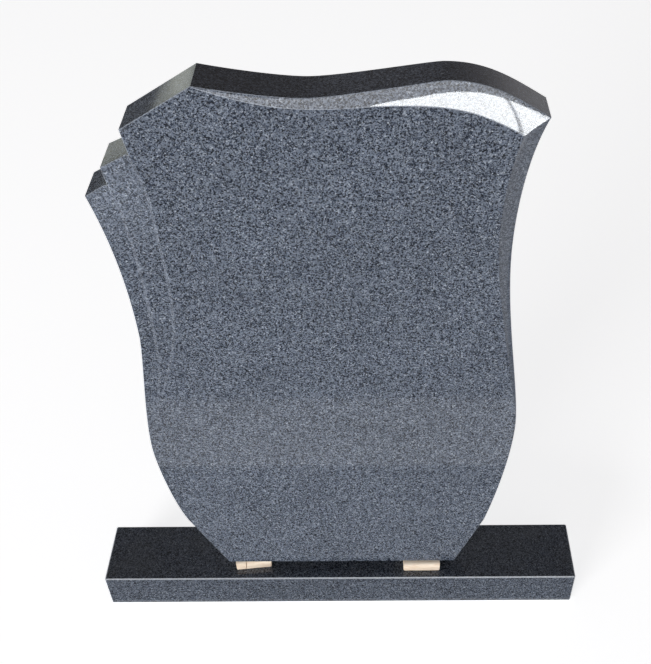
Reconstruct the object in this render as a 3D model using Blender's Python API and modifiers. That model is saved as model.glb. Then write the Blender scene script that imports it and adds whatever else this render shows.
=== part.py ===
"""Granite headstone: a carved upright tablet set on two wooden packing blocks over a plain granite base.

Metres, +Z up. The origin is the middle of the base's underside and the carved face looks along -Y.
"""
import math

import bmesh
import bpy
from mathutils import Vector
from mathutils.geometry import interpolate_bezier

# Base
BASE_WIDTH = 0.880
BASE_DEPTH = 0.120
BASE_HEIGHT = 0.080
BASE_ARRIS = 0.0015

# Tablet
TABLET_WIDTH = 0.598
TABLET_HEIGHT = 0.978
TABLET_THICKNESS = 0.060
TABLET_SETBACK = 0.0234

# Carving
SCOOP_DEPTH = 0.0085
SCOOP_HOLLOW = 0.6
SCOOP_TAPER = 1.25
LEAF_STEP = 0.0055
LEAF_TIP_FADE = 0.10
LEAF_EDGE_FADE = 0.45

# Packing blocks
BLOCK_THICKNESS = 0.020
BLOCK_ROUNDING = 0.002
BLOCK_DEPTH = 0.075
LEFT_BLOCK_WIDTH = 0.066
LEFT_BLOCK_PLACE = -0.165
LEFT_BLOCK_TURN = math.radians(5.8)
LEFT_BLOCK_SHOWS = 0.0015
RIGHT_BLOCK_WIDTH = 0.068
RIGHT_BLOCK_PLACE = 0.153
RIGHT_BLOCK_SHOWS = 0.0085

# Bedding gap that keeps resting pieces apart
SEAT_GAP = 0.0003

# How finely the curves are cut into flats
SPAN_STEPS = 18
BAND_STATIONS = 42
HOLLOW_STEPS = 8
LEAF_STATIONS = 34

# How far a cutter stands clear of the stone, its least width, and how far off its plane a flat face may be:
# flat faces stay whole, because a diagonal across one leaves a sliver where it meets the stone
CUT_CLEAR = 0.005
LEAST_BAND = 0.0006
FLAT_ENOUGH = 0.0000001


# The tablet's drawing: a knot gives its place across (share of the width, from the middle of the base)
# and up (share of the height), the way the line runs there in degrees, and how far it pulls the curve
# before and after itself (shares of the height).
def knot(across, up, heading=90.0, before=0.05, after=0.05):
    return {"across": across, "up": up, "heading": heading, "before": before, "after": after}


FOOT_LEFT = knot(-0.3450, 0.0)
FOOT_RIGHT = knot(0.3564, 0.0)

# Right side, going up
FLARE_RIGHT = knot(0.4350, 0.1290, 77.0, after=0.078)
HIP_RIGHT = knot(0.4898, 0.3808, 90.0, 0.074, 0.080)
WAIST_RIGHT = knot(0.4273, 0.7497, 90.0, 0.123, 0.060)
CORNER_TIP = knot(0.4780, 0.9483, 66.0, 0.058)

# Top, going right from the peak
PEAK = knot(-0.2475, 0.9996, -12.0, after=0.042)
DIP = knot(-0.0202, 0.9805, 0.0, 0.031, 0.041)
CREST = knot(0.2589, 1.0000, 0.0, 0.017, 0.055)
CREST_END = knot(0.4780, 0.9483, -32.0, 0.052)

# The three leaf tips on the left and the notches between them
MAIN_TIP = knot(-0.4072, 0.9404)
UPPER_NOTCH = knot(-0.3970, 0.9036)
SECOND_TIP = knot(-0.4632, 0.8850)
LOWER_NOTCH = knot(-0.4562, 0.8580)

# Left side, going up
FLARE_LEFT = knot(-0.4393, 0.1266, 114.5, after=0.048)
HIP_LEFT = knot(-0.4995, 0.3350, 90.0, 0.049, 0.082)
WAIST_LEFT = knot(-0.4637, 0.5922, 90.0, 0.044, 0.084)
THIRD_TIP = knot(-0.5112, 0.8396, 105.0, 0.085)

# Inner line of the scooped band: along the top, then down the right side
BAND_START = knot(-0.2475, 0.9980, -20.0, after=0.055)
BAND_LOW = knot(0.0025, 0.9665, 0.0, 0.060, 0.039)
BAND_HIGH = knot(0.1508, 0.9704, 0.0, 0.026, 0.071)
BAND_CORNER = knot(0.4236, 0.9271, -32.0, 0.074)
BAND_CORNER_DOWN = knot(0.4236, 0.9271, -105.5, after=0.048)
BAND_WAIST = knot(0.3946, 0.7785, -90.0, 0.048, 0.098)
BAND_END = knot(0.4880, 0.4000, -81.0, 0.132)

# Edges of the leaves on the face, going down from their notches
MAIN_EDGE = knot(-0.3970, 0.9036, -70.0, after=0.045)
MAIN_EDGE_WAIST = knot(-0.3712, 0.7800, -90.0, 0.050, 0.065)
LEAVES_MEET = knot(-0.4537, 0.4410, -115.0, 0.165)
SECOND_EDGE = knot(-0.4562, 0.8580, -53.0, after=0.026)
SECOND_EDGE_WAIST = knot(-0.4227, 0.6412, -90.0, 0.066, 0.081)
SECOND_EDGE_END = knot(-0.4530, 0.4430, -105.0, 0.073)
LEAVES_RUN_OUT = knot(-0.4960, 0.3855)
LEAF_CUT_LEAN = 0.35


def place(at):
    """Knot to a point of the drawing, in metres."""
    return Vector((at["across"] * TABLET_WIDTH, at["up"] * TABLET_HEIGHT))


def pull(at, reach):
    """The vector from a knot to one of its handles."""
    angle = math.radians(at["heading"])
    return Vector((math.cos(angle), math.sin(angle))) * reach * TABLET_HEIGHT


def curve(*knots, steps=SPAN_STEPS):
    """A smooth line through the knots, as points."""
    points = [place(knots[0])]
    for a, b in zip(knots, knots[1:]):
        span = interpolate_bezier(place(a), place(a) + pull(a, a["after"]),
                                  place(b) - pull(b, b["before"]), place(b), steps + 1)
        points += [Vector(p[:2]) for p in span[1:]]
    return points


def resample(points, count):
    """Points evenly spaced along a line, first and last kept."""
    lengths = [0.0]
    for a, b in zip(points, points[1:]):
        lengths.append(lengths[-1] + (b - a).length)
    result, j = [], 0
    for i in range(count):
        wanted = lengths[-1] * i / (count - 1)
        while j < len(points) - 2 and lengths[j + 1] < wanted:
            j += 1
        part = (wanted - lengths[j]) / (lengths[j + 1] - lengths[j])
        result.append(points[j].lerp(points[j + 1], min(max(part, 0.0), 1.0)))
    return result


def across_at(points, up):
    """How far across a line is at a height; the line goes steadily down or up."""
    for a, b in zip(points, points[1:]):
        low, high = sorted((a.y, b.y))
        if low <= up <= high and high > low:
            return a.x + (b.x - a.x) * (up - a.y) / (b.y - a.y)
    nearest = min((points[0], points[-1]), key=lambda p: abs(p.y - up))
    return nearest.x


def new_collection(name):
    made = bpy.data.collections.new(name)
    bpy.context.scene.collection.children.link(made)
    return made


def new_material(name, colour, roughness):
    made = bpy.data.materials.new(name)
    made.use_nodes = True
    shader = made.node_tree.nodes["Principled BSDF"]
    shader.inputs["Base Color"].default_value = (*colour, 1.0)
    shader.inputs["Roughness"].default_value = roughness
    shader.inputs["Metallic"].default_value = 0.0
    return made


def new_object(name, mesh, collection, material=None):
    made = bpy.data.objects.new(name, mesh)
    collection.objects.link(made)
    if material:
        mesh.materials.append(material)
    return made


def mesh_from(bm, name):
    bmesh.ops.recalc_face_normals(bm, faces=bm.faces)
    mesh = bpy.data.meshes.new(name)
    bm.to_mesh(mesh)
    bm.free()
    return mesh


def box(name, size, arris, collection, material):
    """A block with its underside at its own origin and all edges taken off."""
    bm = bmesh.new()
    bmesh.ops.create_cube(bm, size=1.0)
    bmesh.ops.scale(bm, vec=size, verts=bm.verts)
    bmesh.ops.translate(bm, vec=(0.0, 0.0, size[2] / 2), verts=bm.verts)
    block = new_object(name, mesh_from(bm, name), collection, material)
    bevel = block.modifiers.new("Arris", "BEVEL")
    bevel.width = min(arris, min(size) / 3)
    bevel.segments = 1
    return block


def loft(name, sections, collection):
    """A closed cutter through sections of equal point counts."""
    bm = bmesh.new()
    rings = [[bm.verts.new(p) for p in section] for section in sections]
    for a, b in zip(rings, rings[1:]):
        for i in range(len(a)):
            j = (i + 1) % len(a)
            bm.faces.new((a[i], a[j], b[j], b[i]))
    bm.faces.new(rings[0])
    bm.faces.new(list(reversed(rings[-1])))
    bm.normal_update()
    warped = [f for f in bm.faces if max(abs((v.co - f.verts[0].co).dot(f.normal)) for v in f.verts) > FLAT_ENOUGH]
    bmesh.ops.triangulate(bm, faces=warped)
    cutter = new_object(name, mesh_from(bm, name), collection)
    cutter.hide_render = True
    cutter.display_type = "WIRE"
    return cutter


def cut(target, cutter):
    boolean = target.modifiers.new(cutter.name, "BOOLEAN")
    boolean.operation = "DIFFERENCE"
    boolean.solver = "EXACT"
    boolean.object = cutter


def on_face(point, depth):
    """A point of the drawing at a depth behind the tablet's face."""
    return Vector((point.x, FACE_Y + depth, TABLET_FOOT_Z + point.y))


for thing in list(bpy.data.objects):
    bpy.data.objects.remove(thing, do_unlink=True)

stone_parts = new_collection("Headstone")
cutters = new_collection("Headstone cutters")

FRONT_Y = -BASE_DEPTH / 2
FACE_Y = FRONT_Y + TABLET_SETBACK
BLOCK_FOOT_Z = BASE_HEIGHT + SEAT_GAP
TABLET_FOOT_Z = BLOCK_FOOT_Z + BLOCK_THICKNESS + SEAT_GAP

granite = new_material("Polished granite", (0.095, 0.110, 0.140), 0.12)
base_granite = new_material("Polished base granite", (0.070, 0.081, 0.104), 0.12)
pine = new_material("Rough pine", (0.850, 0.700, 0.550), 0.75)

# Base: a plain sawn and polished bar with small arrises
base = box("base", (BASE_WIDTH, BASE_DEPTH, BASE_HEIGHT), BASE_ARRIS, stone_parts, base_granite)

# Packing blocks under the tablet, their front ends just showing
block_middle_y = FACE_Y + BLOCK_DEPTH / 2
left_block = box("spacer_left", (LEFT_BLOCK_WIDTH, BLOCK_DEPTH, BLOCK_THICKNESS),
                 BLOCK_ROUNDING, stone_parts, pine)
left_block.location = (LEFT_BLOCK_PLACE, block_middle_y - LEFT_BLOCK_SHOWS, BLOCK_FOOT_Z)
left_block.rotation_euler.z = LEFT_BLOCK_TURN
right_block = box("spacer_right", (RIGHT_BLOCK_WIDTH, BLOCK_DEPTH, BLOCK_THICKNESS),
                  BLOCK_ROUNDING, stone_parts, pine)
right_block.location = (RIGHT_BLOCK_PLACE, block_middle_y - RIGHT_BLOCK_SHOWS, BLOCK_FOOT_Z)

# Tablet outline, drawn flat and given its thickness
right_side = curve(FLARE_RIGHT, HIP_RIGHT, WAIST_RIGHT, CORNER_TIP)
top_edge = curve(PEAK, DIP, CREST, CREST_END)
left_side = curve(FLARE_LEFT, HIP_LEFT, WAIST_LEFT, THIRD_TIP)
outline = [place(FOOT_LEFT), place(FOOT_RIGHT)] + right_side + list(reversed(top_edge))[1:]
outline += [place(MAIN_TIP), place(UPPER_NOTCH), place(SECOND_TIP), place(LOWER_NOTCH)]
outline += list(reversed(left_side))

drawing = bpy.data.curves.new("Tablet outline", "CURVE")
drawing.dimensions = "2D"
drawing.fill_mode = "BOTH"
drawing.extrude = TABLET_THICKNESS / 2
spline = drawing.splines.new("POLY")
spline.points.add(len(outline) - 1)
for spline_point, p in zip(spline.points, outline):
    spline_point.co = (p.x, p.y, 0.0, 1.0)
spline.use_cyclic_u = True
outline_object = new_object("Tablet outline", drawing, stone_parts)
outline_object.location = (0.0, FACE_Y + TABLET_THICKNESS / 2, TABLET_FOOT_Z)
outline_object.rotation_euler.x = math.radians(90.0)

bpy.context.view_layer.update()
solid_mesh = bpy.data.meshes.new_from_object(outline_object.evaluated_get(bpy.context.evaluated_depsgraph_get()))
bm = bmesh.new()
bm.from_mesh(solid_mesh)
bmesh.ops.remove_doubles(bm, verts=bm.verts, dist=0.00001)
bm.to_mesh(solid_mesh)
bm.free()
solid_mesh.name = "tablet"
tablet = new_object("tablet", solid_mesh, stone_parts, granite)
tablet.matrix_world = outline_object.matrix_world.copy()
bpy.data.objects.remove(outline_object, do_unlink=True)

# Scooped band: widest at the upper right corner, where it turns down the side
band_top = resample(curve(BAND_START, BAND_LOW, BAND_HIGH, BAND_CORNER), BAND_STATIONS)
edge_top = resample(top_edge, BAND_STATIONS)
band_side = resample(curve(BAND_CORNER_DOWN, BAND_WAIST, BAND_END), BAND_STATIONS)
hip_end = place(BAND_END)
edge_down = [p for p in reversed(right_side) if p.y > hip_end.y]
edge_down.append(Vector((across_at(right_side, hip_end.y), hip_end.y)))
edge_side = resample(edge_down, BAND_STATIONS)
inner = band_top + band_side[1:]
outer = edge_top + edge_side[1:]
full_width = (edge_top[-1] - band_top[-1]).length

# The band runs out past both of its ends, clear of the stone
before_start = inner[0] + (outer[0] - outer[1]).normalized() * CUT_CLEAR
inner.insert(0, before_start + Vector((0.0, CUT_CLEAR / 2)))
outer.insert(0, inner[0] + Vector((0.0, LEAST_BAND)))
after_end = inner[-1] + (inner[-1] - inner[-2]).normalized() * 6 * CUT_CLEAR
inner.append(after_end + Vector((CUT_CLEAR, 0.0)))
outer.append(inner[-1] + Vector((LEAST_BAND, 0.0)))

band_sections = []
for start, end in zip(inner, outer):
    width = max((end - start).length, LEAST_BAND)
    outward = (end - start).normalized()
    depth = SCOOP_DEPTH * (width / full_width) ** SCOOP_TAPER
    profile = [(-0.1, -0.1 * (1.0 + SCOOP_HOLLOW))]
    for i in range(1, HOLLOW_STEPS):
        s = i / HOLLOW_STEPS
        profile.append((s, (1.0 + SCOOP_HOLLOW) * s - SCOOP_HOLLOW * s * s))
    section = [on_face(start + outward * width * s, depth * d) for s, d in profile]
    clear = start + outward * (width + CUT_CLEAR)
    section.append(on_face(clear, depth * (1.0 + (1.0 - SCOOP_HOLLOW) * CUT_CLEAR / width)))
    section.append(on_face(clear, -CUT_CLEAR))
    section.append(on_face(start - outward * width * 0.1, -CUT_CLEAR))
    band_sections.append(section)

# Leaves: each leaf starts a step below the one that laps over it and rises towards its own edge
run_out = place(LEAVES_RUN_OUT)


def leaf_line(knots, top):
    """A leaf's edge on the face, carried up past its tip and clear of the stone."""
    line = curve(*knots)
    rise = top - line[0].y
    return [line[0] + Vector((-LEAF_CUT_LEAN * rise, rise))] + line


def leaf_step(up, notch):
    """Depth of the step at a height: full at the notch and none where the edge runs out."""
    share = (up - run_out.y) / (place(notch).y - run_out.y)
    return LEAF_STEP * min(share, 1.0)


above = TABLET_HEIGHT + CUT_CLEAR
main_edge = leaf_line((MAIN_EDGE, MAIN_EDGE_WAIST, LEAVES_MEET), above)
second_edge = leaf_line((SECOND_EDGE, SECOND_EDGE_WAIST, SECOND_EDGE_END), above)
beyond = run_out + (run_out - second_edge[-1]).normalized() * 3 * CUT_CLEAR
second_edge += [run_out, beyond]


def heights(low, high, *corners):
    """Stations from low to high with the given heights among them."""
    even = [low + (high - low) * i / (LEAF_STATIONS - 1) for i in range(LEAF_STATIONS)]
    near = (high - low) / LEAF_STATIONS / 3
    kept = [h for h in even if all(abs(h - c) > near for c in corners)]
    return sorted(kept + list(corners))


second_low = place(LEAVES_MEET).y - CUT_CLEAR / 5
second_sections = []
for up in heights(second_low, above, place(LOWER_NOTCH).y, place(UPPER_NOTCH).y):
    step = leaf_step(up, UPPER_NOTCH)
    start = across_at(main_edge, up)
    end = min(across_at(second_edge, up), start - LEAST_BAND) - LEAST_BAND
    second_sections.append([
        on_face(Vector((start, up)), -CUT_CLEAR), on_face(Vector((start, up)), step),
        on_face(Vector((end, up)), step * LEAF_TIP_FADE), on_face(Vector((end, up)), -CUT_CLEAR)])
cut(tablet, loft("Second leaf", second_sections, cutters))

third_sections = []
for up in heights(beyond.y, above, run_out.y, place(LOWER_NOTCH).y):
    step = leaf_step(up, LOWER_NOTCH)
    start = across_at(second_edge, up)
    edge = min(across_at(left_side, up), start)
    end = edge - CUT_CLEAR
    slope = step * (1.0 - LEAF_EDGE_FADE) / max(start - edge, CUT_CLEAR)
    third_sections.append([
        on_face(Vector((start, up)), -CUT_CLEAR), on_face(Vector((start, up)), step),
        on_face(Vector((end, up)), max(step - slope * (start - end), -CUT_CLEAR / 2)),
        on_face(Vector((end, up)), -CUT_CLEAR)])
cut(tablet, loft("Third leaf", third_sections, cutters))
cut(tablet, loft("Scooped band", band_sections, cutters))

for stone in (tablet, base):
    stone.data.shade_smooth()
    stone.data.set_sharp_from_angle(angle=math.radians(25.0))
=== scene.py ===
# %% [markdown]
# # A polished granite headstone
# The model that comes in is the exact stone: a carved tablet, a plain base bar and two wooden packing
# blocks. This lesson dresses it: it breaks the sharp edges as a mason does, gives the granite its grain and
# its polish, saws the pine blocks, and then sets a camera and a few soft lights.

# %% Load the model
import math

import bmesh
import bpy
from mathutils import Matrix, Vector
from mathutils.geometry import interpolate_bezier


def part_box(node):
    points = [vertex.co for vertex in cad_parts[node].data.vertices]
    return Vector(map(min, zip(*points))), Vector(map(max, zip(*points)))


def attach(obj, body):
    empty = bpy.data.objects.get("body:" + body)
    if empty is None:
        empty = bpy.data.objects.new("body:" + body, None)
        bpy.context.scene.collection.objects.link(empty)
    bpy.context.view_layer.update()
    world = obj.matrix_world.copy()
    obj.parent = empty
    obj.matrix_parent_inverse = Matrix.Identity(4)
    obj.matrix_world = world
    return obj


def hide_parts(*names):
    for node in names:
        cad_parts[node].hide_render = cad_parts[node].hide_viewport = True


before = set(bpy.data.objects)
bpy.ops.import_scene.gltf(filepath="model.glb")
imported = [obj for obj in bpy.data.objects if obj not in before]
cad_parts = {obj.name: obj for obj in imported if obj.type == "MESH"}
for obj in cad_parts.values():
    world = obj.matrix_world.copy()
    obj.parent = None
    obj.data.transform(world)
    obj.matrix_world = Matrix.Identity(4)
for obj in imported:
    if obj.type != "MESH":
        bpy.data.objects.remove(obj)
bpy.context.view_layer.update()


# %% [markdown]
# ## Working by hand, in code
# Every operator acts on what is selected, so each step starts from an empty selection. Four small helpers
# do that. One picks an object, one opens its mesh with nothing selected, one picks edges by a test on each,
# and the last moves an object's place, turn and size into its mesh, so that its origin is the scene's.

# %% Selection helpers
def pick(obj):
    """Make this the one selected, active object."""
    bpy.ops.object.select_all(action="DESELECT")
    obj.select_set(True)
    bpy.context.view_layer.objects.active = obj


def edit(obj):
    """Enter edit mode with nothing selected; returns the mesh being edited."""
    pick(obj)
    bpy.ops.object.mode_set(mode="EDIT")
    bpy.ops.mesh.select_mode(type="EDGE")
    bpy.ops.mesh.select_all(action="DESELECT")
    return bmesh.from_edit_mesh(obj.data)


def pick_edges(obj, test):
    """Enter edit mode with only the edges that pass the test selected; returns how many."""
    chosen = [e for e in edit(obj).edges if len(e.link_faces) == 2 and test(e)]
    for e in chosen:
        e.select_set(True)
    bmesh.update_edit_mesh(obj.data)
    return len(chosen)


def settle(obj):
    """Put the object's origin at the scene's, unturned and unscaled, with its place in its mesh."""
    pick(obj)
    bpy.ops.object.transform_apply(location=True, rotation=True, scale=True)


# %% [markdown]
# ## Building a material
# A material is a small network of nodes around one shader. The first helpers make the material and add
# nodes to it. Every pattern reads its place from the piece itself, so it stays with the piece.

# %% Node helpers
REFRACTION = 1.5


def new_material(name, roughness):
    """A material with one shader; returns the material, its node tree and the shader."""
    made = bpy.data.materials.new(name)
    made.use_nodes = True
    shader = made.node_tree.nodes["Principled BSDF"]
    shader.inputs["Roughness"].default_value = roughness
    shader.inputs["IOR"].default_value = REFRACTION
    return made, made.node_tree, shader


def node(tree, kind, **values):
    """A node with some of its inputs or settings given by name."""
    made = tree.nodes.new(kind)
    for key, value in values.items():
        name = key.replace("_", " ")
        if name in made.inputs:
            made.inputs[name].default_value = value
        else:
            setattr(made, key, value)
    return made


def own_place(tree):
    """The socket that says where a point is on its own piece."""
    return node(tree, "ShaderNodeTexCoord").outputs["Object"]


# %% [markdown]
# Two more helpers work on colours. One turns a number into a colour by a ramp, the other mixes or multiplies
# two colours. With them each material below reads as a short recipe.

# %% Colour helpers
WHITE, BLACK = (1.0, 1.0, 1.0), (0.0, 0.0, 0.0)


def grey(value):
    """A colour with three equal parts."""
    return (value,) * 3


def ramp(tree, source, stops):
    """A colour ramp fed by a socket; stops are (place, colour)."""
    made = tree.nodes.new("ShaderNodeValToRGB")
    elements = made.color_ramp.elements
    while len(elements) < len(stops):
        elements.new(0.5)
    for element, (place, colour) in zip(elements, stops):
        element.position = place
        element.color = (*colour, 1.0)
    tree.links.new(source, made.inputs["Fac"])
    return made.outputs["Color"]


def mix(tree, a, b, share, blend="MIX"):
    """Mix two colours; the share is a number or a socket."""
    made = tree.nodes.new("ShaderNodeMix")
    made.data_type = "RGBA"
    made.blend_type = blend
    sockets = (made.inputs["A"], made.inputs["B"], made.inputs["Factor"])
    for value, socket in zip((a, b, share), sockets):
        if isinstance(value, bpy.types.NodeSocket):
            tree.links.new(value, socket)
        elif isinstance(value, tuple):
            socket.default_value = (*value, 1.0)
        else:
            socket.default_value = value
    return made.outputs["Result"]


# %% [markdown]
# ## The granite
# Dark grey granite is a tight mix of pale feldspar, grey quartz and black mica, each grain one or two
# millimetres across. Each ramp says how large a share of the grains gets which colour: a fifth of them run
# from mica to dark grey, most are grey, and few are pale feldspar.

# %% The minerals
GRAIN_SIZE, SPECK_SIZE = 0.0017, 0.0015
MICA = (0.006, 0.009, 0.017)
DARK_GREY = (0.028, 0.038, 0.060)
MID_GREY = (0.094, 0.111, 0.148)
PALE_GREY = (0.140, 0.162, 0.203)
FELDSPAR = (0.290, 0.318, 0.365)
MINERALS = ((0.00, MICA), (0.20, DARK_GREY), (0.32, MID_GREY),
            (0.66, PALE_GREY), (0.88, PALE_GREY), (1.00, FELDSPAR))
SPECKS = ((0.00, grey(0.10)), (0.18, grey(0.30)), (0.30, grey(0.95)),
          (0.80, grey(1.1)), (1.00, grey(1.5)))
print("grains of", GRAIN_SIZE * 1000, "mm in", len(MINERALS), "mineral steps")

# %% [markdown]
# A Voronoi texture gives every grain one random number and a colour ramp turns the number into a mineral. A
# second Voronoi, a little finer, darkens or brightens parts of the grains. A fine noise bends the straight
# borders of the cells, and a coarse one clouds the stone a little. The pattern is solid, so it runs through
# the edges of the stone as real grain does.

# %% The grain of the stone
BEND_SCALE, BEND_REACH = 520.0, 0.0011
CLOUD_SCALE, CLOUD_DARK, CLOUD_PALE = 9.0, 0.93, 1.07


def cells(tree, where, size):
    """One random number for each grain of a size."""
    grains = node(tree, "ShaderNodeTexVoronoi", Scale=1.0 / size)
    tree.links.new(where, grains.inputs["Vector"])
    split = node(tree, "ShaderNodeSeparateColor")
    tree.links.new(grains.outputs["Color"], split.inputs[0])
    return split.outputs[0]


def granite_colour(tree, gain=1.0):
    """The colour of the stone, read from the piece's own coordinates; gain makes it paler or darker."""
    where = own_place(tree)
    bend = node(tree, "ShaderNodeTexNoise", Scale=BEND_SCALE, Detail=1.0)
    tree.links.new(where, bend.inputs["Vector"])
    bent = node(tree, "ShaderNodeVectorMath", operation="MULTIPLY_ADD")
    bent.inputs[1].default_value = (BEND_REACH, BEND_REACH, BEND_REACH)
    tree.links.new(bend.outputs["Color"], bent.inputs[0])
    tree.links.new(where, bent.inputs[2])
    mineral = ramp(tree, cells(tree, bent.outputs[0], GRAIN_SIZE), MINERALS)
    specks = ramp(tree, cells(tree, bent.outputs[0], SPECK_SIZE), SPECKS)
    colour = mix(tree, mineral, specks, 1.0, "MULTIPLY")
    cloud = node(tree, "ShaderNodeTexNoise", Scale=CLOUD_SCALE, Detail=2.0)
    tree.links.new(where, cloud.inputs["Vector"])
    tones = ((0.3, grey(CLOUD_DARK * gain)), (0.7, grey(CLOUD_PALE * gain)))
    return mix(tree, colour, ramp(tree, cloud.outputs["Fac"], tones), 1.0, "MULTIPLY")


def veiled_granite(tree, shader, gain, veil, share):
    """Colour a shader with granite that one plain colour covers in part."""
    veiled = mix(tree, granite_colour(tree, gain), veil, share)
    tree.links.new(veiled, shader.inputs["Base Color"])


# %% [markdown]
# ## One stone, many finishes
# The finish is as much of the look as the stone. Polish is a low roughness: the flat mirrors the yard in
# front of it. An edge that a rubbing block has broken is honed, dull and paler, because scratched crystal
# scatters light; its pale grey is partly that and partly a painted highlight along the arris. The back is
# left as the saw leaves it, dull and a shade paler.

# %% Polished, honed and sawn
polished, tree, shader = new_material("polished_granite", 0.05)
tree.links.new(granite_colour(tree), shader.inputs["Base Color"])

# Honed arris: paler partly from the honed finish and partly from a painted highlight.
honed_and_highlight, tree, shader = new_material("honed_arris_and_painted_highlight", 0.5)
veiled_granite(tree, shader, 1.5, (0.42, 0.45, 0.50), 0.45)
shader.inputs["Specular IOR Level"].default_value = 0.12

sawn, tree, shader = new_material("sawn_back", 0.5)
tree.links.new(granite_colour(tree, 1.3), shader.inputs["Base Color"])
print("stone materials:", polished.name, honed_and_highlight.name, sawn.name)

# %% [markdown]
# The carved leaves are polished by hand. Their stone is painted paler as it rises towards their tips, a
# painted reflection. Their rubbed shoulders are painted a little paler too, partly for the rubbed finish and
# partly as a painted highlight. The hollow down the right side mirrors a pale part of the yard, which veils
# its grain, so it gets half the contrast.

# %% The carved leaves and the side hollow
# Between these heights the leaves' stone turns paler: a painted reflection.
PAINTED_REFLECTION_FROM, PAINTED_REFLECTION_FULL_AT = 0.78, 0.94

# Shoulder: paler partly from the rubbed finish and partly from a painted highlight.
rubbed_and_highlight, tree, shader = new_material("rubbed_shoulder_and_painted_highlight", 0.4)
veiled_granite(tree, shader, 1.10, PALE_GREY, 0.12)
shader.inputs["Specular IOR Level"].default_value = 0.3

# Leaf stone with a painted reflection that grows towards the tips.
leaf_with_painted_reflection, tree, shader = new_material("leaf_painted_reflection", 0.07)
height = node(tree, "ShaderNodeSeparateXYZ")
tree.links.new(own_place(tree), height.inputs[0])
painted_reflection_share = node(tree, "ShaderNodeMapRange", interpolation_type="SMOOTHSTEP")
painted_reflection_share.inputs["From Min"].default_value = PAINTED_REFLECTION_FROM
painted_reflection_share.inputs["From Max"].default_value = PAINTED_REFLECTION_FULL_AT
tree.links.new(height.outputs["Z"], painted_reflection_share.inputs["Value"])
painted_reflection_stone = mix(tree, granite_colour(tree, 1.25), FELDSPAR, 0.14)
leaf_stone_and_reflection = mix(tree, granite_colour(tree), painted_reflection_stone, painted_reflection_share.outputs["Result"])
tree.links.new(leaf_stone_and_reflection, shader.inputs["Base Color"])

soft_grain, tree, shader = new_material("side_hollow", 0.06)
veiled_granite(tree, shader, 0.84, (0.080, 0.092, 0.118), 0.5)
print("carving materials:", rubbed_and_highlight.name, leaf_with_painted_reflection.name, soft_grain.name)

# %% [markdown]
# The base is a darker stone. Its sanded edges are painted very pale, partly for the sanded finish and partly
# as a painted highlight along the arris. A film of dust lies on its top: a patchy noise that counts only
# where the surface faces up.

# %% The stone of the base
DUST = (0.105, 0.108, 0.105)
DUST_SCALE, DUST_MOST = 14.0, 0.28

# Sanded arris: pale partly from sanding and partly as a painted highlight.
sanded_arris_and_highlight, tree, shader = new_material("sanded_arris_and_painted_highlight", 0.5)
veiled_granite(tree, shader, 1.5, (0.58, 0.61, 0.65), 0.6)
shader.inputs["Specular IOR Level"].default_value = 0.2

base_stone, tree, shader = new_material("polished_base_granite", 0.07)
patches = node(tree, "ShaderNodeTexNoise", Scale=DUST_SCALE, Detail=4.0)
tree.links.new(own_place(tree), patches.inputs["Vector"])
film = ramp(tree, patches.outputs["Fac"], ((0.36, BLACK), (0.75, grey(DUST_MOST))))
facing = node(tree, "ShaderNodeSeparateXYZ")
tree.links.new(node(tree, "ShaderNodeTexCoord").outputs["Normal"], facing.inputs[0])
settled = mix(tree, BLACK, film, facing.outputs["Z"])
veiled_granite(tree, shader, 0.74, DUST, settled)
shader.inputs["Specular IOR Level"].default_value = 0.35
print("base materials:", sanded_arris_and_highlight.name, base_stone.name)

# %% [markdown]
# ## The tablet's size
# The sizes come from the frame, not from numbers typed here, so the dressed tablet fits the solid one. Its
# box reaches from the third leaf's tip on the left to the widest point on the right, and both have a known
# share of the drawing's width.

# %% The tablet's size
HIP_ACROSS, TIP_ACROSS = 0.4898, -0.5112
tablet_low, tablet_high = (Vector(v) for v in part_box("tablet"))
FACE_Y, BACK_Y, FOOT_Z = tablet_low.y, tablet_high.y, tablet_low.z
WIDTH = (tablet_high.x - tablet_low.x) / (HIP_ACROSS - TIP_ACROSS)
HEIGHT = tablet_high.z - tablet_low.z
print("tablet", round(WIDTH, 3), "by", round(HEIGHT, 3), "m, face at y", round(FACE_Y, 4))

# %% [markdown]
# ## The tablet's drawing
# A mason starts from a full-size template on the sawn slab. Ours is the drawing that the solid was cut
# from: knots that a smooth line passes through, each with its heading and how hard it pulls the line before
# and after itself. Places are shares of the tablet's width and height.

# %% How a line is drawn
LINE_STEPS = 40


def place(across, up):
    """A point of the drawing in metres, from shares of the width and height."""
    return Vector((across * WIDTH, up * HEIGHT))


def towards(degrees):
    """A step of length one in a heading; 0 points right and 90 points up."""
    return Vector((math.cos(math.radians(degrees)), math.sin(math.radians(degrees))))


def line(*knots):
    """Points of a smooth line; a knot is (across, up, heading, pull before, pull after)."""
    points = [place(*knots[0][:2])]
    for a, b in zip(knots, knots[1:]):
        start, end = place(*a[:2]), place(*b[:2])
        leave = towards(a[2]) * a[4] * HEIGHT
        arrive = towards(b[2]) * b[3] * HEIGHT
        span = interpolate_bezier(start, start + leave, end - arrive, end, LINE_STEPS + 1)
        points += [Vector(p[:2]) for p in span[1:]]
    return points


def spaced(points, count):
    """The same line as a given number of evenly spaced points."""
    lengths = [0.0]
    for a, b in zip(points, points[1:]):
        lengths.append(lengths[-1] + (b - a).length)
    result = []
    j = 0
    for i in range(count):
        wanted = lengths[-1] * i / (count - 1)
        while j < len(points) - 2 and lengths[j + 1] < wanted:
            j += 1
        share = (wanted - lengths[j]) / (lengths[j + 1] - lengths[j])
        result.append(points[j].lerp(points[j + 1], share))
    return result


def split_at(points, up):
    """Cut a rising line at a height: the part below and the part above, both with the point itself."""
    i = next(i for i, p in enumerate(points) if p.y > up)
    a, b = points[i - 1], points[i]
    cut = a.lerp(b, (up - a.y) / (b.y - a.y))
    return points[:i] + [cut], [cut] + points[i:]


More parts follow.
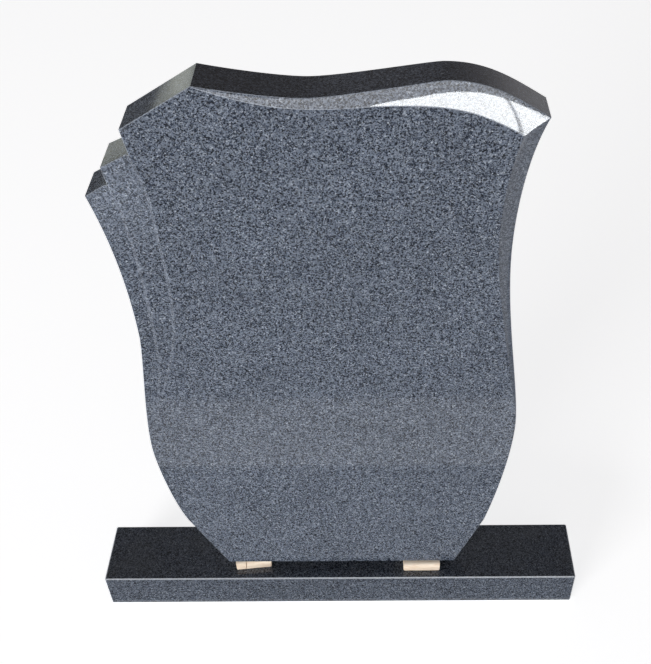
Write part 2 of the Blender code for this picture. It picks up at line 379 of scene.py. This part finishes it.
# %% [markdown]
# The outline has a waisted side on the right and on the left and a waved top. On the left the top falls to
# three tips, one under the other. Inside it run the two inner lines of the scooped band, along the top and
# down the right side, and the edges of the main and the second leaf, which meet a little above the place
# where the leaves run out.

# %% The lines themselves
BAND_STEPS, LEAF_STEPS, TIP_STEPS, RUN_OUT_STEPS = 72, 44, 3, 8
LEAVES_END_UP = 0.3855
foot_left, foot_right = place(-0.3450, 0.0), place(0.3564, 0.0)
right_side = line((0.4350, 0.1290, 77, 0, 0.078), (HIP_ACROSS, 0.3808, 90, 0.074, 0.080),
                  (0.4273, 0.7497, 90, 0.123, 0.060), (0.4780, 0.9483, 66, 0.058, 0))
top_edge = line((-0.2475, 0.9996, -12, 0, 0.042), (-0.0202, 0.9805, 0, 0.031, 0.041),
                (0.2589, 1.0000, 0, 0.017, 0.055), (0.4780, 0.9483, -32, 0.052, 0))
left_side = line((-0.4393, 0.1266, 114.5, 0, 0.048), (-0.4995, 0.3350, 90, 0.049, 0.082),
                 (-0.4637, 0.5922, 90, 0.044, 0.084), (TIP_ACROSS, 0.8396, 105, 0.085, 0))
main_tip, second_tip = place(-0.4072, 0.9404), place(-0.4632, 0.8850)

band_top = line((-0.2475, 0.9980, -20, 0, 0.055), (0.0025, 0.9665, 0, 0.060, 0.039),
                (0.1508, 0.9704, 0, 0.026, 0.071), (0.4236, 0.9271, -32, 0.074, 0))
band_side = line((0.4236, 0.9271, -105.5, 0, 0.048), (0.3946, 0.7785, -90, 0.048, 0.098),
                 (0.4880, 0.4000, -81, 0.132, 0))
main_leaf = line((-0.3970, 0.9036, -70, 0, 0.045), (-0.3712, 0.7800, -90, 0.050, 0.065),
                 (-0.4537, 0.4410, -115, 0.165, 0))
second_leaf = line((-0.4562, 0.8580, -53, 0, 0.026), (-0.4227, 0.6412, -90, 0.066, 0.081),
                   (-0.4537, 0.4410, -105, 0.073, 0))

right_low, right_high = split_at(right_side, band_side[-1].y)
left_low, left_high = split_at(left_side, LEAVES_END_UP * HEIGHT)
print("band", BAND_STEPS, "stations an arm; leaves", LEAF_STEPS, "stations")

# %% [markdown]
# ## Raising the tablet
# The flat part of the face is one many-sided polygon, a filled circle whose vertices go to the drawing.
# Everything carved is grown from its rim: a run of edges is extruded and the new row moves on to where the
# carving goes next. So each crisp line of the stone is a real row of edges, and the flat stays truly flat,
# which a polished surface shows at once. A boolean would leave slivers that spoil the reflections.

# %% Growing rows
SAME_PLACE = 0.00003
POLISHED, HONED_AND_HIGHLIGHT, SAWN, RUBBED_AND_HIGHLIGHT, LEAF_WITH_PAINTED_REFLECTION, SOFT_GRAIN = range(6)


def carved(point, depth):
    """A point of the drawing at a depth behind the face."""
    return Vector((point.x, FACE_Y + depth, FOOT_Z + point.y))


def nearest(points, co):
    """Which of the points is nearest to a place."""
    return min(range(len(points)), key=lambda i: (points[i] - co).length_squared)


def extrude_to(obj, places, slot, crisp=True):
    """Extrude the selected edges and move each new vertex by a function of where it is."""
    bpy.ops.mesh.mark_sharp(clear=not crisp)
    bpy.ops.mesh.extrude_edges_move()
    fresh = [v for v in bmesh.from_edit_mesh(obj.data).verts if v.select]
    for face in {f for v in fresh for f in v.link_faces}:
        face.material_index = slot
    for v in fresh:
        v.co = places(v.co)
    bmesh.update_edit_mesh(obj.data)


def select_run(obj, points):
    """Select the edges that join a run of points, in edit mode."""
    for e in edit(obj).edges:
        a, b = (nearest(points, v.co) for v in e.verts)
        on_run = all((points[i] - v.co).length < SAME_PLACE for i, v in zip((a, b), e.verts))
        e.select_set(on_run and abs(a - b) == 1)
    bmesh.update_edit_mesh(obj.data)


def grow(obj, rows, slots, crisp):
    """From the edges along the first row, extrude the rest; crisp names the rows with a sharp edge."""
    select_run(obj, rows[0])
    for i, (before, after, slot) in enumerate(zip(rows, rows[1:], slots)):
        extrude_to(obj, lambda co: after[nearest(before, co)], slot, i in crisp)
    bpy.ops.object.mode_set(mode="OBJECT")
    print("grew", len(rows) - 1, "rows of", len(rows[0]) - 1, "edges")


# %% [markdown]
# The outline goes once around, to the right from the left corner of the foot, and its rim is the same line
# an arris further in. The places where the carving starts and stops are kept as numbers along it.

# %% The outline and its rim
ARRIS = 0.0009
SHARPEST_MITRE = 0.4


def inset(points, width):
    """A closed line moved inwards, with mitred corners."""
    result = []
    for before, at, after in zip(points[-1:] + points[:-1], points, points[1:] + points[:1]):
        a, b = (at - before).normalized(), (after - at).normalized()
        inward = Vector((-a.y - b.y, a.x + b.x)).normalized()
        mitre_share = max(inward.dot(Vector((-a.y, a.x))), SHARPEST_MITRE)
        result.append(at + inward * width / mitre_share)
    return result


outline = [foot_left, foot_right] + right_low
band_end_at = len(outline) - 1
outline += spaced(right_high, BAND_STEPS + 1)[1:]
corner_at = len(outline) - 1
outline += spaced(top_edge, BAND_STEPS + 1)[::-1][1:]
peak_at = len(outline) - 1
outline += [main_tip, main_leaf[0]]
notch_at = len(outline) - 1
outline += [second_tip.lerp(second_leaf[0], i / TIP_STEPS) for i in range(TIP_STEPS + 1)]
low_notch_at = len(outline) - 1
outline += spaced(left_high, LEAF_STEPS + RUN_OUT_STEPS + 1)[::-1]
run_out_at = len(outline) - 1
outline += left_low[::-1][1:]
rim = inset(outline, ARRIS)
print("the rim has", len(rim), "points; the band's corner is number", corner_at)

# %% [markdown]
# The band lies between its two inner lines and the rim, with a station for each of its cross sections. The
# leaves lie between their edges and the rim. A leaf's edge is moved a little to the right, but not at its
# two ends, so that the rubbed shoulder that follows straddles the line of the drawing. What is left inside
# is the flat.

# %% The flat of the face
SHOULDER, SHOULDER_GROWS = 0.0048, 0.15
MAIN_LEAF_MOVES, SECOND_LEAF_MOVES = 0.6, 0.25


def widened(points, outwards):
    """A leaf's edge moved to the right by a distance, with an ease towards both of its ends."""
    top, foot = points[0].y, points[-1].y
    ease = [min((top - p.y) / SHOULDER_GROWS, (p.y - foot) / SHOULDER_GROWS, 1.0) for p in points]
    return [p + Vector((outwards * e * e * (3.0 - 2.0 * e), 0.0)) for p, e in zip(points, ease)]


outer_side = rim[band_end_at:corner_at + 1][::-1]
outer_top = rim[corner_at:peak_at + 1][::-1]
inner_top = [outer_top[0]] + spaced(band_top, BAND_STEPS + 1)[1:]
inner_side = spaced(band_side, BAND_STEPS + 1)[:-1] + [outer_side[-1]]
inner, outer = inner_top + inner_side[1:], outer_top + outer_side[1:]

main_leaf = widened(main_leaf, MAIN_LEAF_MOVES * SHOULDER)
second_leaf = widened(second_leaf, SECOND_LEAF_MOVES * SHOULDER)
second_top = [rim[notch_at]] + spaced(main_leaf, LEAF_STEPS + TIP_STEPS + 1)[1:]
second_foot = rim[notch_at + 1:low_notch_at + 1] + spaced(second_leaf, LEAF_STEPS + 1)[1:]
tail = [second_top[-1].lerp(rim[run_out_at], i / RUN_OUT_STEPS) for i in range(1, RUN_OUT_STEPS + 1)]
third_top = second_foot[TIP_STEPS:] + tail
third_foot = rim[low_notch_at + 1:run_out_at + 1]

flat = rim[:band_end_at] + inner[::-1] + rim[peak_at + 1:notch_at] + second_top + tail
flat += rim[run_out_at + 1:]
bpy.ops.object.select_all(action="DESELECT")
bpy.ops.mesh.primitive_circle_add(vertices=len(flat), fill_type="NGON")
tablet = bpy.context.active_object
tablet.name = "carved_tablet"
for vertex, point in zip(tablet.data.vertices, flat):
    vertex.co = carved(point, 0.0)
print("the flat has", len(flat), "corners")

# %% [markdown]
# ## The scooped band
# A shallow hollow runs along the top edge and turns down the right side, widest and deepest at the corner.
# A mason cuts it with a round-nosed wheel and leaves a mitre where the two arms meet. Its rows start with a
# narrow arris at the flat, then follow a curve that is steep at first and eases towards the edge.

# %% The scooped band
SCOOP_DEPTH, SCOOP_HOLLOW, SCOOP_TAPER, SCOOP_ROWS = 0.0085, 0.6, 1.25, 9
SCOOP_ARRIS, ARRIS_AT_MOST = 0.0013, 0.8
TINY = 0.0001
full_width = (outer_top[-1] - inner_top[-1]).length


def scoop(start, end, share):
    """A point across the band: the surface falls away from the face in a shallow hollow."""
    width = (end - start).length
    depth = SCOOP_DEPTH * (width / full_width) ** SCOOP_TAPER
    fall = (1.0 + SCOOP_HOLLOW) * share - SCOOP_HOLLOW * share ** 2
    return carved(start.lerp(end, share), depth * fall)


def band_row(share, least=0.0):
    """One row along the band; least is a width in metres that the row keeps from the inner line."""
    row = []
    for a, b in zip(inner, outer):
        kept = min(least / max((b - a).length, TINY), ARRIS_AT_MOST)
        row.append(scoop(a, b, share + kept * (1.0 - share)))
    return row


band_rows = [band_row(0.0), band_row(0.0, SCOOP_ARRIS)]
band_rows += [band_row(i / SCOOP_ROWS, SCOOP_ARRIS) for i in range(1, SCOOP_ROWS)]
band_rows += [band_row(1.0)]
top_arm = [row[:BAND_STEPS + 1] for row in band_rows]
side_arm = [row[BAND_STEPS:] for row in band_rows]
mitre = [row[BAND_STEPS] for row in band_rows]
grow(tablet, top_arm, [HONED_AND_HIGHLIGHT] + [POLISHED] * SCOOP_ROWS, (0, 1))
grow(tablet, side_arm, [SOFT_GRAIN] * (SCOOP_ROWS + 1), (0,))

# %% [markdown]
# ## The leaves
# Three leaves lap like slates down the left edge. Each is a step: a rubbed shoulder, painted paler as a
# highlight, a steep wall, and the next leaf, which starts at the foot of the wall and rises towards its own
# edge. The steps are deepest at the notches and fade to nothing where the leaves run out, so the depths are
# worked out from the height.

# %% The leaves
LEAF_STEP, LEAF_TIP_FADE, LEAF_EDGE_FADE, LEAF_ROWS = 0.0055, 0.10, 0.45, 4
SHOULDER_DROP, WALL_LEAN = 0.5, 0.0004
SHOULDER_AT_MOST, WALL_AT_MOST = 0.41, 0.42
STEP_ROWS = ((SHOULDER, SHOULDER_DROP, SHOULDER_AT_MOST), (SHOULDER + WALL_LEAN, 1.0, WALL_AT_MOST))


def leaf_rows(top, foot, top_depths, depths, fade):
    """Rows from a leaf's edge: a rubbed shoulder, a steep wall, then the next leaf as it rises outwards."""
    rows = [[carved(a, d) for a, d in zip(top, top_depths)]]
    for out, drop, at_most in STEP_ROWS:
        row = []
        for a, b, t, d in zip(top, foot, top_depths, depths):
            share = min(out / max((b - a).length, TINY), at_most)
            row.append(carved(a.lerp(b, share), t + drop * (d - t)))
        rows.append(row)
    for i in range(1, LEAF_ROWS + 1):
        share = i / LEAF_ROWS
        row = []
        for b, d, wall_foot in zip(foot, depths, rows[2]):
            start = Vector((wall_foot.x, wall_foot.z - FOOT_Z))
            row.append(carved(start.lerp(b, share), d * (1.0 - share * (1.0 - fade))))
        rows.append(row)
    return rows


def step_depths(points):
    """Depth of the step beside each point: full at the notch and none where the leaf runs out."""
    notch, run_out = points[0].y, points[-1].y
    shares = [min(max((p.y - run_out) / (notch - run_out), 0.0), 1.0) for p in points]
    return [LEAF_STEP * share for share in shares]


leaf_slots = [RUBBED_AND_HIGHLIGHT] + [LEAF_WITH_PAINTED_REFLECTION] * (LEAF_ROWS + 1)
second_depths = step_depths(second_top)
second = leaf_rows(second_top, second_foot, [0.0] * len(second_top), second_depths, LEAF_TIP_FADE)
grow(tablet, second, leaf_slots, (0, 1, 2))
top_depths = [d * LEAF_TIP_FADE for d in second_depths[TIP_STEPS:]] + [0.0] * RUN_OUT_STEPS
third = leaf_rows(third_top, third_foot, top_depths, step_depths(third_top), LEAF_EDGE_FADE)
grow(tablet, third, leaf_slots, (0, 1, 2))

# %% [markdown]
# ## Closing the tablet
# The open rim is extruded three times: a narrow step out and back makes the honed arris, painted pale as a
# highlight, a long one the polished edge of the slab, and a last one the arris behind, painted the same. The
# hole that is left is filled for the back, which a mason leaves fine-sawn because nobody sees it.

# %% Sides and back
MERGE = 0.00002


def follow(line_from, line_to, y):
    """A function that carries a vertex from one closed line to another, at a given depth."""
    ends_from = line_from[1:] + line_from[:1]
    ends_to = line_to[1:] + line_to[:1]

    def move(co):
        point = Vector((co.x, co.z - FOOT_Z))
        best_gap, best = math.inf, None
        for a, b, to_a, to_b in zip(line_from, ends_from, line_to, ends_to):
            along = b - a
            share = min(max((point - a).dot(along) / along.length_squared, 0.0), 1.0)
            gap = (a + along * share - point).length_squared
            if gap < best_gap:
                best_gap, best = gap, to_a.lerp(to_b, share)
        return Vector((best.x, y(co), FOOT_Z + best.y))
    return move


edit(tablet)
bpy.ops.mesh.select_all(action="SELECT")
bpy.ops.mesh.remove_doubles(threshold=MERGE)
bpy.ops.mesh.select_all(action="DESELECT")
bpy.ops.mesh.select_non_manifold(extend=False, use_wire=False, use_boundary=True,
                                 use_multi_face=False, use_non_contiguous=False, use_verts=False)
extrude_to(tablet, follow(rim, outline, lambda co: co.y + ARRIS), HONED_AND_HIGHLIGHT)
extrude_to(tablet, follow(outline, outline, lambda co: BACK_Y - ARRIS), POLISHED)
extrude_to(tablet, follow(outline, rim, lambda co: BACK_Y), HONED_AND_HIGHLIGHT)
bpy.ops.mesh.mark_sharp()
bpy.ops.mesh.edge_face_add()
for face in bmesh.from_edit_mesh(tablet.data).faces:
    if face.select:
        face.material_index = SAWN
print("slab", round(BACK_Y - FACE_Y, 4), "m thick, closed behind")

# %% [markdown]
# Vertices that lie on each other are merged, the faces are turned to look outwards, and a count of the
# vertices on open edges shows that the skin is closed. The mitre of the scoop is marked as a crisp edge,
# and every edge that turns by less than 28 degrees is shaded smooth. Last, the finishes go into their
# slots, in the order of the numbers that the rows were given.

# %% The finished tablet
STONE_SMOOTH_TO = math.radians(28)
bpy.ops.mesh.select_all(action="SELECT")
bpy.ops.mesh.remove_doubles(threshold=MERGE)
bpy.ops.mesh.normals_make_consistent(inside=False)
bpy.ops.mesh.select_all(action="DESELECT")
bpy.ops.mesh.select_non_manifold()
loose = len([v for v in bmesh.from_edit_mesh(tablet.data).verts if v.select])
bpy.ops.object.mode_set(mode="OBJECT")
select_run(tablet, mitre)
bpy.ops.mesh.mark_sharp()
bpy.ops.object.mode_set(mode="OBJECT")
bpy.ops.object.shade_smooth_by_angle(angle=STONE_SMOOTH_TO)
for material in (polished, honed_and_highlight, sawn, rubbed_and_highlight, leaf_with_painted_reflection, soft_grain):
    tablet.data.materials.append(material)
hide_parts("tablet")
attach(tablet, "root")
print("tablet:", len(tablet.data.polygons), "faces,", loose, "vertices on open edges")

# %% [markdown]
# ## The base
# The base is a sawn and polished bar. It starts as a cube at its size and place, and a bevel takes a wider
# arris off its edges than the tablet's. The bevel's faces get the second material, the sanded one, whose
# pale colour is partly a painted highlight.

# %% The base bar
BASE_ARRIS = 0.0020
base_low, base_high = (Vector(v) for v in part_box("base"))
bpy.ops.object.select_all(action="DESELECT")
bpy.ops.mesh.primitive_cube_add(size=1.0, location=(base_low + base_high) / 2)
base = bpy.context.active_object
base.name = "base_bar"
base.scale = base_high - base_low
settle(base)
base.data.materials.append(base_stone)
base.data.materials.append(sanded_arris_and_highlight)
rubbed_edges = pick_edges(base, lambda e: True)
bpy.ops.mesh.bevel(offset=BASE_ARRIS, offset_type="OFFSET", segments=1, affect="EDGES", material=1)
bpy.ops.object.mode_set(mode="OBJECT")
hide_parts("base")
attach(base, "root")
print("base bar with", rubbed_edges, "edges rubbed")

# %% [markdown]
# ## The packing blocks
# Two offcuts of sawn pine keep the tablet off its base until it is bedded. Pine's year rings show on a sawn
# face as long pale and darker streaks: a noise that is squeezed hard upwards and drawn out along the block.

# %% Pine
PINE_STRETCH = (60.0, 14.0, 320.0)
PINE_COLOURS = ((0.3, (0.80, 0.62, 0.46)), (0.55, (0.91, 0.76, 0.60)), (0.8, (0.95, 0.83, 0.68)))
pine, tree, shader = new_material("sawn_pine", 0.7)
stretch = node(tree, "ShaderNodeMapping")
stretch.inputs["Scale"].default_value = PINE_STRETCH
tree.links.new(own_place(tree), stretch.inputs["Vector"])
streaks = node(tree, "ShaderNodeTexNoise", Scale=1.0, Detail=4.0)
tree.links.new(stretch.outputs[0], streaks.inputs["Vector"])
tree.links.new(ramp(tree, streaks.outputs["Fac"], PINE_COLOURS), shader.inputs["Base Color"])
print("wood material:", pine.name)


# %% [markdown]
# Each block starts as a cube of its own size. The size is read from the model in the block's own axes, which
# are turned a little for the left one, so the new block lies where the solid one does.

# %% A squared block
def squared_block(node_name, turn, angle):
    """A sharp-edged block of the size and place of a node, measured along its own turned axes."""
    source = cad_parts[node_name]
    points = [turn.transposed() @ (source.matrix_world @ v.co) for v in source.data.vertices]
    low = Vector([min(p[i] for p in points) for i in range(3)])
    high = Vector([max(p[i] for p in points) for i in range(3)])
    bpy.ops.object.select_all(action="DESELECT")
    bpy.ops.mesh.primitive_cube_add(size=1.0, location=turn @ ((low + high) / 2),
                                    rotation=(0.0, 0.0, angle))
    made = bpy.context.active_object
    made.name = node_name + "_block"
    made.scale = high - low
    settle(made)
    return made


# %% [markdown]
# Edge weights then tell one bevel how much to take off: most from the front top edge, less from the lower
# side edges and little elsewhere.

# %% Two blocks
LEFT_BLOCK_TURN = math.radians(5.8)
BLOCK_ROUNDING, ROUNDING_STEPS = 0.007, 4
EVERY_EDGE, FRONT_TOP_EDGE, LOWER_SIDE_EDGES = 0.25, 0.75, 0.35
WOOD_SMOOTH_TO = math.radians(40)


def weigh_edges(obj, weight, test):
    """Add a weight to the edges that pass a test; the bevel takes off that share of its width."""
    pick_edges(obj, test)
    bpy.ops.transform.edge_bevelweight(value=weight)
    bpy.ops.object.mode_set(mode="OBJECT")


def block(node_name, angle):
    """A rounded block that stands for a node, turned by an angle about the vertical."""
    turn = Matrix.Rotation(angle, 3, "Z")
    made = squared_block(node_name, turn, angle)
    sides = {"front": -turn.col[1], "right": turn.col[0], "top": Vector((0.0, 0.0, 1.0))}

    def faces_of(e):
        """The two sides that meet in an edge, by name; the back is called not front."""
        names = set()
        for face in e.link_faces:
            name = max(sides, key=lambda side: abs(face.normal.dot(sides[side])))
            names.add(name if face.normal.dot(sides[name]) > 0.0 else "not " + name)
        return names

    lower_sides = ({"right", "not top"}, {"not right", "not top"})
    weigh_edges(made, EVERY_EDGE, lambda e: True)
    weigh_edges(made, FRONT_TOP_EDGE, lambda e: faces_of(e) == {"front", "top"})
    weigh_edges(made, LOWER_SIDE_EDGES, lambda e: faces_of(e) in lower_sides)
    rounding = made.modifiers.new("Rounding", "BEVEL")
    rounding.limit_method = "WEIGHT"
    rounding.width = BLOCK_ROUNDING
    rounding.segments = ROUNDING_STEPS
    pick(made)
    bpy.ops.object.modifier_apply(modifier=rounding.name)
    bpy.ops.object.shade_smooth_by_angle(angle=WOOD_SMOOTH_TO)
    made.data.materials.append(pine)
    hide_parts(node_name)
    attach(made, "root")
    print(made.name, len(made.data.polygons), "faces")
    return made


left_block = block("spacer_left", LEFT_BLOCK_TURN)
block("spacer_right", 0.0)

# %% [markdown]
# The left block has an end check, a split that opens as pine dries. Two cuts, just over a millimetre apart
# and leaning a little, mark a thin strip down its front, which is then pushed in. The smooth shading is set
# again, since the cuts leave new edges.

# %% The end check in the left block
SPLIT_PLACE, SPLIT_WIDTH, SPLIT_DEPTH, SPLIT_LEAN = -0.1755, 0.0014, 0.007, math.radians(8)
FACES_FRONT = -0.3
lean = Matrix.Rotation(LEFT_BLOCK_TURN, 3, "Z") @ Matrix.Rotation(SPLIT_LEAN, 3, "Y")
across = lean @ Vector((1.0, 0.0, 0.0))
block_low, block_high = (Vector(v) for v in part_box("spacer_left"))
middle = Vector((SPLIT_PLACE, block_low.y, (block_low.z + block_high.z) / 2))
for side in (-0.5, 0.5):
    edit(left_block)
    bpy.ops.mesh.select_all(action="SELECT")
    bpy.ops.mesh.bisect(plane_co=middle + across * SPLIT_WIDTH * side, plane_no=across)
    bpy.ops.object.mode_set(mode="OBJECT")
edit(left_block)
bpy.ops.mesh.select_mode(type="FACE")
for face in bmesh.from_edit_mesh(left_block.data).faces:
    offset = (face.calc_center_median() - middle).dot(across)
    face.select_set(abs(offset) < SPLIT_WIDTH / 2 and face.normal.y < FACES_FRONT)
bmesh.update_edit_mesh(left_block.data)
bpy.ops.mesh.extrude_region_move(TRANSFORM_OT_translate={"value": (0.0, SPLIT_DEPTH, 0.0)})
bpy.ops.object.mode_set(mode="OBJECT")
bpy.ops.object.shade_smooth_by_angle(angle=WOOD_SMOOTH_TO)
print("end check cut;", len(left_block.data.polygons), "faces")

# %% [markdown]
# ## The floor
# A catalogue picture cuts the stone out on white. A pale floor that glows a little, like a sheet of opal
# acrylic lit from below, gives that white and still takes a soft shadow.

# %% The floor
FLOOR_GLOW, FLOOR_GAP = 0.78, 0.0005


def glow(shader, colour, emission):
    """A plain colour that also gives off white light."""
    shader.inputs["Base Color"].default_value = (*colour, 1.0)
    shader.inputs["Emission Color"].default_value = (*WHITE, 1.0)
    shader.inputs["Emission Strength"].default_value = emission


bpy.ops.object.select_all(action="DESELECT")
bpy.ops.mesh.primitive_plane_add(size=16.0, location=(0.0, 0.0, -FLOOR_GAP))
floor = bpy.context.active_object
floor.name = "pale_floor"
paper, tree, shader = new_material("pale_paper", 0.9)
glow(shader, grey(0.86), FLOOR_GLOW)
floor.data.materials.append(paper)
print("floor", round(floor.dimensions.x), "m square")

# %% [markdown]
# ## What the polish mirrors
# A polished slab shows its surroundings more than itself, so most of the lighting is about what stands in
# front of it. Seen from above, the upright face mirrors the ground before it. A white floor there would
# wash the stone out, so a dark mat lies on it that only reflections see.

# %% A dark mat before the stone
MAT_WIDTH, MAT_DEPTH, MAT_MIDDLE_Y, MAT_GLOW = 1.5, 3.0, -1.565, 0.22


def sheet(name, where, turn, size):
    """A flat sheet that only reflections see; it lights nothing and throws no shadow."""
    bpy.ops.object.select_all(action="DESELECT")
    bpy.ops.mesh.primitive_plane_add(size=1.0, location=where, rotation=turn)
    made = bpy.context.active_object
    made.name = name
    made.scale = (*size, 1.0)
    made.visible_camera = False
    made.visible_diffuse = False
    made.visible_shadow = False
    return made


mat = sheet("dark_mat", (0.0, MAT_MIDDLE_Y, 0.001), (0.0, 0.0, 0.0), (MAT_WIDTH, MAT_DEPTH))
felt, tree, shader = new_material("dark_felt", 1.0)
glow(shader, (0.12, 0.13, 0.14), MAT_GLOW)
mat.data.materials.append(felt)
print("mat", MAT_WIDTH, "by", MAT_DEPTH, "m")


# %% [markdown]
# ## Soft lights
# A wide fill from the left front shows the stone's own colour. A tall window, which only reflections see,
# makes the white patch in the scooped corner, and a broad screen gives the rest of the scoop its sheen.
# Three thin strips on the floor, one inside the other, make the paler band across the foot of the face.

# %% Soft lights
def softbox(name, where, target, size, radiance, colour=WHITE):
    """A rectangular light, aimed at a point; radiance is how bright its face looks."""
    data = bpy.data.lights.new(name, "AREA")
    data.shape = "RECTANGLE"
    data.size, data.size_y = size
    data.energy = radiance * math.pi * size[0] * size[1]
    data.color = colour
    lamp = bpy.data.objects.new(name, data)
    bpy.context.scene.collection.objects.link(lamp)
    lamp.location = where
    lamp.rotation_euler = (Vector(target) - Vector(where)).to_track_quat("-Z", "Y").to_euler()
    lamp.visible_camera = False
    return lamp


fill = softbox("front_fill", (-5.3, -7.4, 1.7), (0.0, 0.0, 0.7), size=(4.5, 2.6), radiance=18.5)
fill.visible_glossy = False

WINDOW_TILT = math.radians(32.8)
window = softbox("window_softbox", (0.797, -2.0, 1.363), (0.797, 0.0, 1.363),
                 size=(0.95, 1.80), radiance=18.5, colour=(0.96, 0.985, 1.0))
window.rotation_euler.rotate_axis("Z", WINDOW_TILT)
window.visible_diffuse = False

screen = softbox("front_screen", (0.0, -3.5, 1.35), (0.0, 0.0, 1.35), size=(7.0, 2.7), radiance=2.7)
screen.visible_diffuse = False

STRIP_Y, STRIP_Z = -0.445, 0.004
for name, depth in (("floor_strip", 0.20), ("floor_strip_middle", 0.15), ("floor_strip_core", 0.10)):
    strip = softbox(name, (0.0, STRIP_Y, STRIP_Z), (0.0, STRIP_Y, 1.0), size=(3.0, depth), radiance=0.50)
    strip.visible_diffuse = False

# %% [markdown]
# ## Cards
# Photographers stand cards around a shiny thing to draw its edges. A narrow bar across the window makes the
# grey line in the white patch. A patchy card behind, on the left, lights the slanting top faces of the
# leaves, and a dark one below it leaves the lowest of them dark.

# %% The cards
PLAIN = ((0.0, WHITE), (1.0, WHITE))
LEAVES_AND_SKY = ((0.36, (0.42, 0.44, 0.40)), (0.58, (1.15, 1.20, 1.08)))


def card(name, where, turn, size, strength, colours=PLAIN, grain=1.0):
    """A glowing sheet that only reflections see; its colours may be patchy."""
    made = sheet(name, where, turn, size)
    paint, tree, shader = new_material(name + "_glow", 1.0)
    patches = node(tree, "ShaderNodeTexNoise", Scale=grain, Detail=1.5)
    tree.links.new(own_place(tree), patches.inputs["Vector"])
    tree.links.new(ramp(tree, patches.outputs["Fac"], colours), shader.inputs["Emission Color"])
    shader.inputs["Emission Strength"].default_value = strength
    shader.inputs["Base Color"].default_value = (*BLACK, 1.0)
    made.data.materials.append(paint)
    print("card", made.name)


QUARTER_TURN = math.pi / 2
BAR_TURN = (QUARTER_TURN, -math.radians(40.9), 0.0)
BACK_TURN = (QUARTER_TURN, 0.0, math.radians(32.0))
card("glazing_bar", (1.03, -1.96, 0.866), BAR_TURN, (0.85, 0.036), strength=5.0)
card("low_back_card", (-1.75, 2.6, 0.905), BACK_TURN, (2.0, 0.45), strength=0.10)
card("back_card", (-1.75, 2.6, 1.465), BACK_TURN, (2.0, 0.67), strength=0.97,
     colours=LEAVES_AND_SKY, grain=5.0)

# %% [markdown]
# ## The room
# The camera sees a plain pale backdrop. Light that only brightens surfaces comes from a dim room, and
# mirrors see a room that is paler near the floor and dark at head height, as a yard with walls is.

# %% The room
BACKDROP, DIM_ROOM = grey(0.88), (0.09, 0.088, 0.095)
MIRRORED_ROOM = ((0.0, (0.62, 0.62, 0.64)), (0.12, (0.55, 0.54, 0.56)), (0.37, (0.31, 0.30, 0.31)),
                 (0.47, (0.19, 0.18, 0.18)), (0.85, (0.32, 0.32, 0.33)))
world = bpy.data.worlds.new("studio")
bpy.context.scene.world = world
world.use_nodes = True
tree = world.node_tree
seen = tree.nodes.new("ShaderNodeLightPath")
direction = tree.nodes.new("ShaderNodeTexCoord")
upwards = tree.nodes.new("ShaderNodeSeparateXYZ")
tree.links.new(direction.outputs["Generated"], upwards.inputs[0])
room = ramp(tree, upwards.outputs["Z"], MIRRORED_ROOM)
lit = mix(tree, DIM_ROOM, room, seen.outputs["Is Glossy Ray"])
shown = mix(tree, lit, BACKDROP, seen.outputs["Is Camera Ray"])
tree.links.new(shown, tree.nodes["Background"].inputs["Color"])
bpy.context.scene.view_settings.view_transform = "Standard"
print("world:", world.name)

# %% [markdown]
# ## The camera
# The picture was taken from standing height, close to the stone and looking down, so the base looks far
# away and small. The lens is shifted a little sideways, as when a picture is cropped off centre.

# %% The camera
EYE = Vector((0.0687, -1.0645, 1.6281))
PITCH, YAW, ROLL = math.radians(42.607), math.radians(0.264), math.radians(-0.554)
camera_data = bpy.data.cameras.new("camera")
camera_data.lens = 51.90
camera_data.sensor_width = 36.0
camera_data.shift_x = -0.0698
camera = bpy.data.objects.new("camera", camera_data)
bpy.context.scene.collection.objects.link(camera)
aim = (Matrix.Rotation(YAW, 4, "Z") @ Matrix.Rotation(QUARTER_TURN - PITCH, 4, "X") @
       Matrix.Rotation(ROLL, 4, "Z"))
camera.matrix_world = Matrix.Translation(EYE) @ aim
bpy.context.scene.camera = camera
print("camera", round(EYE.z, 2), "m up, looking", round(math.degrees(PITCH)), "degrees down")
